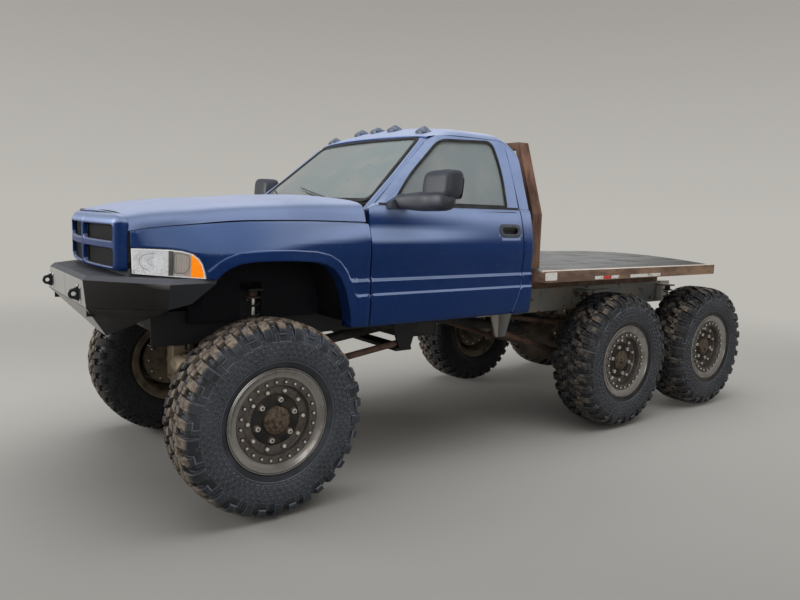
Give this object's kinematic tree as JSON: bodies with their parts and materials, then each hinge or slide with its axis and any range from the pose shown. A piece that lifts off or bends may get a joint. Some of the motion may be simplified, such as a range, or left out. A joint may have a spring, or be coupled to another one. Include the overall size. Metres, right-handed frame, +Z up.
{
  "type": "six-wheeled pickup truck",
  "caption": "Old off-road pickup truck on six large wheels, with a long flat steel deck behind a two-door cab and a folded-plate front bumper.",
  "frame": {"origin": "on the ground, under the middle of the whole truck", "axes": "+X to the front, +Y to the left side, +Z up"},
  "size_m": [6.0268, 2.72, 2.3922],
  "materials": {
    "body_blue": "satin",
    "glass": "gloss",
    "tyre_rubber": "matt",
    "wheel_steel": "satin",
    "frame_paint": "satin",
    "axle_paint": "satin",
    "link_rust": "rusty",
    "bumper_black": "satin",
    "deck_steel": "worn",
    "deck_rust": "satin",
    "plastic_grey": "matt",
    "lamp_clear": "gloss",
    "lamp_red": "gloss",
    "seat_fabric": "woven",
    "engine_iron": "matt",
    "dark_mesh": "satin",
    "aluminium": "matt"
  },
  "bodies": {
    "chassis": {"chassis_frame": "frame_paint", "front_axle": "axle_paint", "middle_axle": "axle_paint", "rear_axle": "axle_paint", "lower_links": "link_rust", "upper_links": "link_rust", "coilovers": "bumper_black", "drive_shafts": "frame_paint", "engine_block": "engine_iron", "gearbox": "engine_iron", "radiator": "aluminium", "cab_shell": "body_blue", "windshield": "glass", "rear_window": "glass", "fenders": "body_blue", "headlamps": "lamp_clear", "inner_fenders": "plastic_grey", "front_bumper": "bumper_black", "tow_tabs": "bumper_black", "deck_floor": "deck_steel", "deck_frame": "deck_rust", "headboard": "link_rust", "tail_lamps": "lamp_red", "dashboard": "plastic_grey", "bench_seat": "seat_fabric", "roof_lamps": "body_blue", "fuel_tank": "aluminium", "exhaust_pipe": "link_rust"},
    "hood_panel": {"hood": "body_blue", "grille": "body_blue", "grille_mesh": "dark_mesh"},
    "steering_wheel_body": {"steering_wheel": "plastic_grey"},
    "tie_rod_bar": {"tie_rod": "link_rust"},
    "left_door": {"door_left": "body_blue", "door_glass_left": "glass", "mirror_left": "plastic_grey"},
    "left_knuckle": {"knuckle_left": "axle_paint"},
    "front_left_wheel": {"tyre_front_left": "tyre_rubber", "rim_front_left": "wheel_steel"},
    "middle_left_wheel": {"tyre_middle_left": "tyre_rubber", "rim_middle_left": "wheel_steel"},
    "rear_left_wheel": {"tyre_rear_left": "tyre_rubber", "rim_rear_left": "wheel_steel"},
    "right_door": {"door_right": "body_blue", "door_glass_right": "glass", "mirror_right": "plastic_grey"},
    "right_knuckle": {"knuckle_right": "axle_paint"},
    "front_right_wheel": {"tyre_front_right": "tyre_rubber", "rim_front_right": "wheel_steel"},
    "middle_right_wheel": {"tyre_middle_right": "tyre_rubber", "rim_middle_right": "wheel_steel"},
    "rear_right_wheel": {"tyre_rear_right": "tyre_rubber", "rim_rear_right": "wheel_steel"}
  },
  "joints": [
    {"name": "steer_left", "type": "hinge", "parent": "chassis", "child": "left_knuckle", "pos_m": [2.0435, 0.74, 0.564], "axis": [0, 0, 1], "range_deg": [-28, 28]},
    {"name": "front_left_spin", "type": "hinge", "parent": "left_knuckle", "child": "front_left_wheel", "pos_m": [2.0435, 0.908, 0.564], "axis": [0, 1, 0], "continuous": true},
    {"name": "middle_left_spin", "type": "hinge", "parent": "chassis", "child": "middle_left_wheel", "pos_m": [-1.1485, 0.92, 0.564], "axis": [0, 1, 0], "continuous": true},
    {"name": "rear_left_spin", "type": "hinge", "parent": "chassis", "child": "rear_left_wheel", "pos_m": [-2.4495, 0.92, 0.564], "axis": [0, 1, 0], "continuous": true},
    {"name": "left_door_hinge", "type": "hinge", "parent": "chassis", "child": "left_door", "pos_m": [1.3635, 0.95, 1.41], "axis": [0, 0, -1], "range_deg": [0, 68]},
    {"name": "steer_right", "type": "hinge", "parent": "chassis", "child": "right_knuckle", "pos_m": [2.0435, -0.74, 0.564], "axis": [0, 0, 1], "range_deg": [-28, 28]},
    {"name": "front_right_spin", "type": "hinge", "parent": "right_knuckle", "child": "front_right_wheel", "pos_m": [2.0435, -0.908, 0.564], "axis": [0, 1, 0], "continuous": true},
    {"name": "middle_right_spin", "type": "hinge", "parent": "chassis", "child": "middle_right_wheel", "pos_m": [-1.1485, -0.92, 0.564], "axis": [0, 1, 0], "continuous": true},
    {"name": "rear_right_spin", "type": "hinge", "parent": "chassis", "child": "rear_right_wheel", "pos_m": [-2.4495, -0.92, 0.564], "axis": [0, 1, 0], "continuous": true},
    {"name": "right_door_hinge", "type": "hinge", "parent": "chassis", "child": "right_door", "pos_m": [1.3635, -0.95, 1.41], "axis": [0, 0, 1], "range_deg": [0, 68]},
    {"name": "tie_rod_pivot", "type": "hinge", "parent": "left_knuckle", "child": "tie_rod_bar", "pos_m": [1.8585, 0.74, 0.514], "axis": [0, 0, 1], "range_deg": [-28, 28]},
    {"name": "hood_hinge", "type": "hinge", "parent": "chassis", "child": "hood_panel", "pos_m": [1.3935, 0, 1.785], "axis": [0, -1, 0], "range_deg": [0, 50]},
    {"name": "steering_wheel_turn", "type": "hinge", "parent": "chassis", "child": "steering_wheel_body", "pos_m": [0.8475, 0.38, 1.765], "axis": [-0.848, 0, 0.5299], "range_deg": [-430, 430]}
  ],
  "couplings": [
    {"joint": "steer_right", "follows": "steer_left", "ratio": 1},
    {"joint": "tie_rod_pivot", "follows": "steer_left", "ratio": -1},
    {"joint": "steering_wheel_turn", "follows": "steer_left", "ratio": 15}
  ]
}
